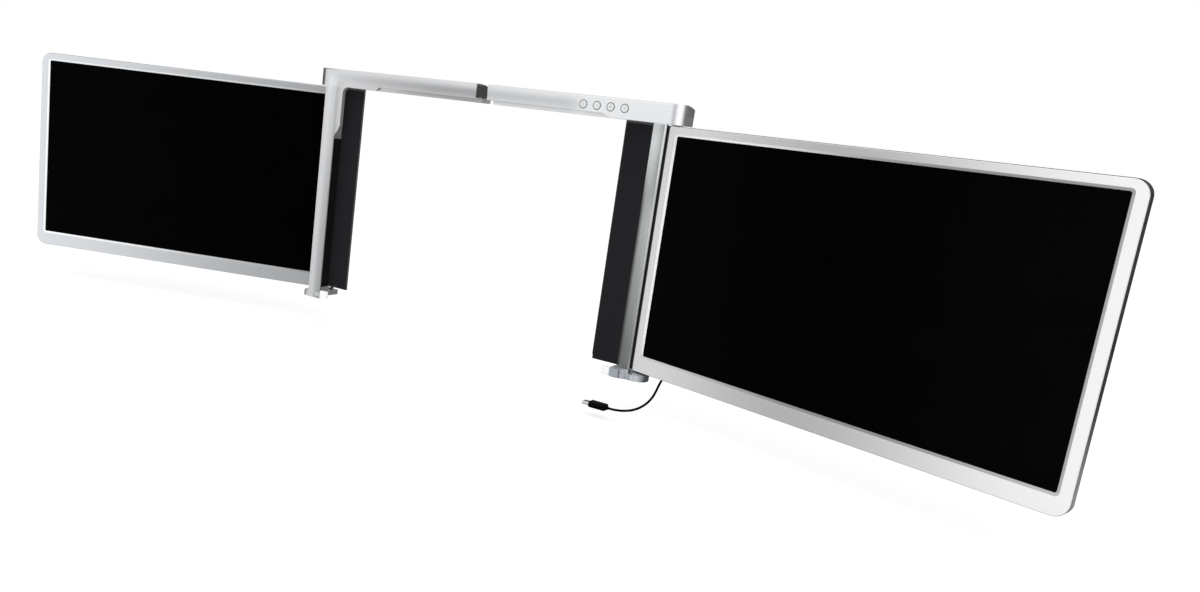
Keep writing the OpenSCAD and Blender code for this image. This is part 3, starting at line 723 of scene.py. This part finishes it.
# Painted shade and highlights on the left bracket half, as a factor on its base colour.
def left_painted_shading(x, y, z):
    # painted shade on the lower end face at the rail
    if x > -4.4 and z < 233.35 and y > 2:
        return 0.55
    # painted shade on the top
    if y > 8.5 and z > 238:
        return top_painted_shade(y)
    # painted shade on the left side of the ear, darkest at the outside
    if x < -193 and z > 229:
        return lerp(x, [(-197.6, 0.30), (-196, 0.36), (-195.2, 0.42), (-194.4, 0.75), (-193.4, 1.0)])
    if y > 1.2:
        return 1.0
    q = dish_left(x, z)
    # on the bar: painted shade in the dish, stronger towards the rail, and a faint painted highlight towards the left
    # end
    if z > 228:
        a = lerp(x, [(-178, 0.08), (-150, 0.19), (-100, 0.32), (-50, 0.45), (-4, 0.48)])
        return lerp(x, [(-160, 1.05), (-110, 1.0)]) * (1.0 - a * hollow(q))
    # on the leg: painted shade in the dish, stronger lower down, and slightly darker at the foot
    a = lerp(z, [(10, 0.45), (60, 0.42), (100, 0.38), (140, 0.32), (200, 0.21), (228, 0.17)])
    return (1.0 - a * hollow(q)) * lerp(z, [(10, 0.95), (200, 1.0)])


# Painted shade and highlights on the right flange by height: the first table on its side, the second on its front,
# darker towards the foot.
FLANGE_WALL_PAINTED_SHADE = [(18, 0.43), (30, 0.30), (60, 0.45), (100, 0.59), (140, 0.79), (170, 0.65), (200, 0.97), (215, 1.1), (225, 0.8)]
FLANGE_FACE_PAINTED_SHADE = [(16, 0.40), (30, 0.32), (60, 0.44), (100, 0.58), (140, 0.68), (170, 0.66), (200, 0.82), (215, 1.0)]


# Painted highlight and shade round the right foot's rounded nose, by angle in degrees: a bright band from 8 to 20,
# darker from 36 on.
FOOT_TIP_PAINTED_HIGHLIGHT = [(0, 0.85), (4, 1.2), (8, 1.9), (20, 1.9), (27, 1.1), (36, 0.74), (45, 0.60), (54, 0.34), (63, 0.5), (85, 0.8)]


# Painted shade and highlights on the right bracket half, as a factor on its base colour.
def right_painted_shading(x, y, z):
    # the foot's rounded nose gets its painted highlight and shade
    if z < 14 and not (z > 13.0 and 185.9 < x < 188.2 and 7.5 < y < 11.5):
        return lerp(90 + math.degrees(math.atan2(y - 15, x - 192.4)), FOOT_TIP_PAINTED_HIGHLIGHT) if x > 192 and y < 15.2 else 1.0
    # painted shade on the flange
    if x > 183.8 and z < 227 and z > 13.0 and y > 5:
        return lerp(z, FLANGE_WALL_PAINTED_SHADE if x < 186.3 else FLANGE_FACE_PAINTED_SHADE)
    # painted shade on the top
    if y > 8.5 and z > 238:
        return top_painted_shade(y)
    if y > 1.2 or z < 228 or x > 125:
        return 1.0
    # painted shade in the dish of the bar's left part
    return 1.0 - 0.25 * (1 - smooth((x - 90) / 26.0)) * hollow(dish_right(x, z))


def shape_left(bm):
    cut_grid(bm, is_front, xs=[-190.4 + 0.8 * k for k in range(18)] + [-175.6 + 2.2 * k for k in range(12)] + list(range(-146, -5, 8)), zs=[229.9 + 0.7 * k for k in range(22)] + list(range(12, 228, 9)))
    cut_grid(bm, lambda f: near_front(f), xs=[-175.6 + 4.4 * k for k in range(6)] + list(range(-146, -5, 8)), zs=list(range(12, 245, 9)))
    for v in {w for f in bm.faces if is_front(f) for w in f.verts}:
        q = v.co * 1000.0 + SEAT
        v.co.y += dish_depth(dish_left(q.x, q.z)) / 1000.0


def shape_right(bm):
    cut_grid(bm, lambda f: (f.calc_center_median() * 1000.0 + SEAT).x > 184 and max((v.co * 1000.0 + SEAT).z for v in f.verts) > 30 and min((v.co * 1000.0 + SEAT).z for v in f.verts) < 200 and abs(f.normal.z) < 0.5, zs=[30, 45, 60, 80, 100, 120, 140, 155, 170, 185, 200, 215])
    cut_grid(bm, lambda f: near_front(f) and f.calc_center_median().z > -0.012, xs=list(range(16, 88, 8)) + [88 + 6 * k for k in range(6)] + [126, 134, 142, 150, 158, 166, 174, 182, 190, 192.4], zs=[229.9 + 2.1 * k for k in range(8)])
    cut_grid(bm, lambda f: is_front(f) and f.calc_center_median().z > -0.012, xs=list(range(16, 88, 8)) + [88 + 3 * k for k in range(11)] + [126, 134, 142, 150, 158, 166, 174, 182, 190], zs=[229.9 + 0.7 * k for k in range(22)])
    for v in {w for f in bm.faces if is_front(f) for w in f.verts}:
        q = v.co * 1000.0 + SEAT
        if q.z > 228 and q.x < 118:
            v.co.y += dish_depth(dish_right(q.x, q.z)) * (1 - smooth((q.x - 90) / 26.0)) / 1000.0


def flat_back(e):
    """The outline of a flat face at the back or underneath."""
    return any((f.normal.y > 0.999 or f.normal.z < -0.999) and f.calc_center_median().y > FRONT_Y + 0.0125 for f in e.link_faces)


def ear_start(e):
    """The line where the flat front turns into the rounded ear."""
    if flat_back(e):
        return True
    a, b = (v.co * 1000.0 + SEAT for v in e.verts)
    return abs(a.x - 193.5) < 0.12 and abs(b.x - 193.5) < 0.12 and abs(a.y) < 0.06 and abs(b.y) < 0.06 and min(a.z, b.z) > 226


def foot_faces(bm):
    for f in bm.faces:
        q = f.calc_center_median() * 1000.0 + SEAT
        if q.z < 14.0:
            f.material_index = 1
        elif q.x > 183.5 and q.y > 5 and q.z < 229.2 and f.normal.x < -0.5:
            f.material_index = 2


def end_faces(bm):
    """The lower strip of the left half's end at the rail."""
    cut_grid(bm, lambda f: f.normal.x > 0.9 and (f.calc_center_median() * 1000.0 + SEAT).x > -12, zs=[233.3])
    for f in bm.faces:
        q = f.calc_center_median() * 1000.0 + SEAT
        if q.x > -12 and q.z < 233.3 and f.normal.x > 0.5:
            f.material_index = 1


M["foot"] = silver("silver_foot", (0.52, 0.55, 0.585), 0.85, 0.27, 0.285, 2600, 0.0012, with_painted_shading=True)
cad_piece("left_bracket", [M["silver"], M["trim"]], width=0.45, segments=3, tone=left_painted_shading, shape=lambda bm: (shape_left(bm), end_faces(bm)), crease=flat_back, rolls=[(-193.5, 10.5, 10.5, -180, -90, 229, 246)])
cad_piece("right_bracket", [M["silver"], M["foot"], M["trim"]], width=0.45, segments=3, tone=right_painted_shading, shape=lambda bm: (shape_right(bm), foot_faces(bm)), crease=ear_start, rolls=[(193.5, 10.5, 10.5, -90, 0, 229, 246), (192.4, 15, 12.1, -85, 60, 5, 10.3)])

# ------------------------------------------------------------------ clip pads


def soft_box(bm, lo, hi, r, segments=4):
    """A box between two corners of the drawing, its edges rounded by r mm."""
    a, b = P(*lo), P(*hi)
    made = bmesh.ops.create_cube(bm, size=1.0)
    for v in made["verts"]:
        v.co = Vector(((a[k] + b[k]) / 2 + v.co[k] * (b[k] - a[k]) for k in range(3)))
    edges = list({e for v in made["verts"] for e in v.link_edges})
    bmesh.ops.bevel(bm, geom=edges, offset=r / 1000.0, offset_type="OFFSET", segments=segments, profile=0.5, affect="EDGES", clamp_overlap=True)


for side, x0, x1, z0, z1 in (("right", 165.2, 173.6, 5.2, 12.8), ("left", -175.7, -167.0, 5.2, 14.0)):
    bm = bmesh.new()
    soft_box(bm, (x0, -1.2, z0), (x1, 4.3, z1), 1.5, 5)
    finish_mesh(bm, side + "_pad", M["white"], side + "_clip", [side + "_clip_pad"])

# ------------------------------------------------------------------ buttons


def turned(name, profile, x, z, mat, body, replaced=(), n=48):
    """A turned piece about the Y line through (x, z): profile is (y, radius)."""
    bm = bmesh.new()
    rows = loft(bm, [[P(x + r * math.cos(2 * math.pi * k / n), y, z + r * math.sin(2 * math.pi * k / n)) for k in range(n)] for y, r in profile])
    cap(bm, rows[0])
    cap(bm, rows[-1], True)
    return finish_mesh(bm, name, mat, body, replaced, 30.0)


def turned_ring(name, profile, x, z, mat, body, n=48):
    bm = bmesh.new()
    loft(bm, [[P(x + r * math.cos(2 * math.pi * k / n), y, z + r * math.sin(2 * math.pi * k / n)) for k in range(n)] for y, r in profile], closed=True)
    return finish_mesh(bm, name, mat, body, (), 30.0)


def stroke(bm, pts, w, y0, y1, x, z):
    """A raised line of width w through points given from the button's middle."""
    pts = [Vector((a, b)) for a, b in pts]
    left, right = [], []
    for i, q in enumerate(pts):
        d = (pts[min(i + 1, len(pts) - 1)] - pts[max(i - 1, 0)]).normalized()
        nrm = Vector((-d.y, d.x)) * w / 2
        left.append(q + nrm)
        right.append(q - nrm)
    outline = left + right[::-1]
    rows = [[bm.verts.new(P(x + q.x, y, z + q.y)) for q in outline] for y in (y0, y1)]
    n = len(left)
    for i in range(n - 1):
        for r in rows:
            bm.faces.new((r[i], r[i + 1], r[2 * n - 2 - i], r[2 * n - 1 - i]))
    m2 = len(outline)
    for i in range(m2):
        j = (i + 1) % m2
        bm.faces.new((rows[0][i], rows[0][j], rows[1][j], rows[1][i]))


ICONS = [
    [[(1.25 * math.cos(math.radians(a)), 1.25 * math.sin(math.radians(a))) for a in range(125, 416, 10)], [(0, 0.35), (0, 1.55)]],
    [[(-1.15, 0), (1.15, 0)]],
    [[(-1.15, 0.8), (1.15, 0.8)], [(-1.15, 0), (1.15, 0)], [(-1.15, -0.8), (1.15, -0.8)]],
    [[(-1.2, 0), (1.2, 0)], [(0, 0.16), (0, 1.2)], [(0, -0.16), (0, -1.2)]],
]
for i in range(4):
    bx, bz = 110.3 + i * 13.43, 238.3
    body = "button_%d_body" % (i + 1)
    turned("button_%d_cap" % (i + 1), [(1.7, 4.5), (1.3, 4.5), (1.3, 3.2), (-0.12, 3.2), (-0.23, 3.15), (-0.30, 3.04), (-0.335, 2.8), (-0.345, 2.2), (-0.35, 1.4), (-0.35, 0.6)], bx, bz, M["button"], body, ["button_%d" % (i + 1)])
    turned_ring("button_%d_ring" % (i + 1), [(1.29, 3.23), (-0.22, 3.23), (-0.30, 3.28), (-0.35, 3.40), (-0.35, 3.68), (-0.31, 3.79), (-0.22, 3.84), (-0.10, 3.85), (1.29, 3.85)], bx, bz, M["ring"], body)
    bm = bmesh.new()
    for pts in ICONS[i]:
        stroke(bm, pts, 0.38, -0.365, -0.34, bx, bz)
    finish_mesh(bm, "button_%d_icon" % (i + 1), M["icon"], body, (), weighted=False)

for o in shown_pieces():
    if any(w in o.name for w in ("foam_pad", "edge_rubber", "back_plate", "leg_plate", "bracket", "washers", "hinge_pins", "barrels", "clip_", "_pad")):
        o.visible_glossy = False

# ------------------------------------------------------------------ stage, light
FLOOR_Z = -0.2655
bm = bmesh.new()
s = 30.0
cap(bm, [bm.verts.new((x, y, FLOOR_Z)) for x, y in ((-s, -s), (s, -s), (s, s), (-s, s))])
me = bpy.data.meshes.new("floor")
bm.to_mesh(me)
bm.free()
floor = bpy.data.objects.new("floor", me)
SCENE.collection.objects.link(floor)
fl = Mat("floor")
fl.color(fl.mix(fl.noise(3, 2), (0.33, 0.33, 0.33), (0.34, 0.34, 0.34)))
fl.set(Roughness=0.9, Specular_IOR_Level=0.0, Emission_Color=(1, 1, 1, 1), Emission_Strength=0.75)
me.materials.append(fl.m)
floor.visible_glossy = False

# The studio: a white cove whose brightness changes softly round the horizon, as strip lights and flags make it.
world = bpy.data.worlds.new("studio")
SCENE.world = world
world.use_nodes = True
wt = world.node_tree
wt.nodes.clear()
w_out = wt.nodes.new("ShaderNodeOutputWorld")
w_bg = wt.nodes.new("ShaderNodeBackground")
w_co = wt.nodes.new("ShaderNodeTexCoord")
w_sep = wt.nodes.new("ShaderNodeSeparateXYZ")
w_neg = wt.nodes.new("ShaderNodeMath"); w_neg.operation = "MULTIPLY"; w_neg.inputs[1].default_value = -1.0
w_at = wt.nodes.new("ShaderNodeMath"); w_at.operation = "ARCTAN2"
w_map = wt.nodes.new("ShaderNodeMapRange")
w_map.inputs["From Min"].default_value = -math.pi
w_map.inputs["From Max"].default_value = math.pi
w_ramp = wt.nodes.new("ShaderNodeValToRGB")
wt.links.new(w_co.outputs["Generated"], w_sep.inputs[0])
wt.links.new(w_sep.outputs["Y"], w_neg.inputs[0])
wt.links.new(w_sep.outputs["X"], w_at.inputs[0])
wt.links.new(w_neg.outputs[0], w_at.inputs[1])
wt.links.new(w_at.outputs[0], w_map.inputs["Value"])
wt.links.new(w_map.outputs[0], w_ramp.inputs[0])
# azimuth in degrees from the user's side, positive to the right; brightness
AZ = [(-180, 0.35), (-164, 0.35), (-148, 0.08), (-84, 0.05), (-72, 0.08), (-66, 0.20), (-61, 0.50), (-57, 0.84), (-53, 0.84), (-50, 0.58), (-46, 0.29), (-43, 0.32), (-40, 0.52), (-37, 0.73), (-33, 1.06), (-28, 1.02), (-20, 0.86), (-12, 0.82), (-8, 0.66), (-4, 0.44), (1, 0.29), (10, 0.30), (20, 0.50), (34, 0.95), (48, 1.2), (84, 1.2), (93, 0.95), (99, 0.30), (108, 0.05), (152, 0.03), (164, 0.05), (180, 0.35)]
cr = w_ramp.color_ramp
cr.interpolation = "LINEAR"
while len(cr.elements) < len(AZ):
    cr.elements.new(0.5)
for el, (a, v) in zip(cr.elements, AZ):
    el.position = (a + 180.0) / 360.0
for el, (a, v) in zip(cr.elements, AZ):
    cool = 1.0 if -24 <= a <= 14 else 0.0
    el.color = (v * (1 - 0.035 * cool), v, v * (1.005 + 0.04 * cool), 1)
# brighter overhead
w_el = wt.nodes.new("ShaderNodeMapRange")
w_el.inputs["From Min"].default_value = 0.38
w_el.inputs["From Max"].default_value = 0.86
wt.links.new(w_sep.outputs["Z"], w_el.inputs["Value"])
w_mix = wt.nodes.new("ShaderNodeMix")
w_mix.data_type = "RGBA"
wt.links.new(w_el.outputs[0], w_mix.inputs["Factor"])
wt.links.new(w_ramp.outputs[0], w_mix.inputs["A"])
w_mix.inputs["B"].default_value = (1.25, 1.25, 1.26, 1)
# darker well below the horizon, which only glossy rays see, because the floor covers it
w_low = wt.nodes.new("ShaderNodeMapRange")
w_low.inputs["From Min"].default_value = -0.55
w_low.inputs["From Max"].default_value = -0.30
w_low.inputs["To Min"].default_value = 0.35
w_low.inputs["To Max"].default_value = 1.0
wt.links.new(w_sep.outputs["Z"], w_low.inputs["Value"])
w_mul = wt.nodes.new("ShaderNodeMix")
w_mul.data_type = "RGBA"
w_mul.blend_type = "MULTIPLY"
w_mul.inputs["Factor"].default_value = 1.0
wt.links.new(w_mix.outputs["Result"], w_mul.inputs["A"])
wt.links.new(w_low.outputs[0], w_mul.inputs["B"])
# the backdrop that the camera sees is plain white
w_lp = wt.nodes.new("ShaderNodeLightPath")
w_mix2 = wt.nodes.new("ShaderNodeMix")
w_mix2.data_type = "RGBA"
wt.links.new(w_lp.outputs["Is Camera Ray"], w_mix2.inputs["Factor"])
wt.links.new(w_mul.outputs["Result"], w_mix2.inputs["A"])
w_mix2.inputs["B"].default_value = (1.0, 1.0, 1.0, 1)
wt.links.new(w_mix2.outputs["Result"], w_bg.inputs["Color"])
wt.links.new(w_bg.outputs[0], w_out.inputs[0])


def area(name, loc, target, size, power, size_y=None):
    d = bpy.data.lights.new(name, "AREA")
    d.energy = power
    d.size = size
    if size_y:
        d.shape = "RECTANGLE"
        d.size_y = size_y
    o = bpy.data.objects.new(name, d)
    SCENE.collection.objects.link(o)
    o.location = loc
    o.rotation_euler = (Vector(target) - Vector(loc)).to_track_quat("-Z", "Y").to_euler()
    o.visible_camera = False
    o.visible_glossy = False
    return o


area("top_light", (0.3, -0.6, 1.6), (0, 0, -0.1), 1.8, 10.0, 1.2)

SCENE.view_settings.view_transform = "Standard"
SCENE.view_settings.look = "None"

bpy.context.view_layer.update()
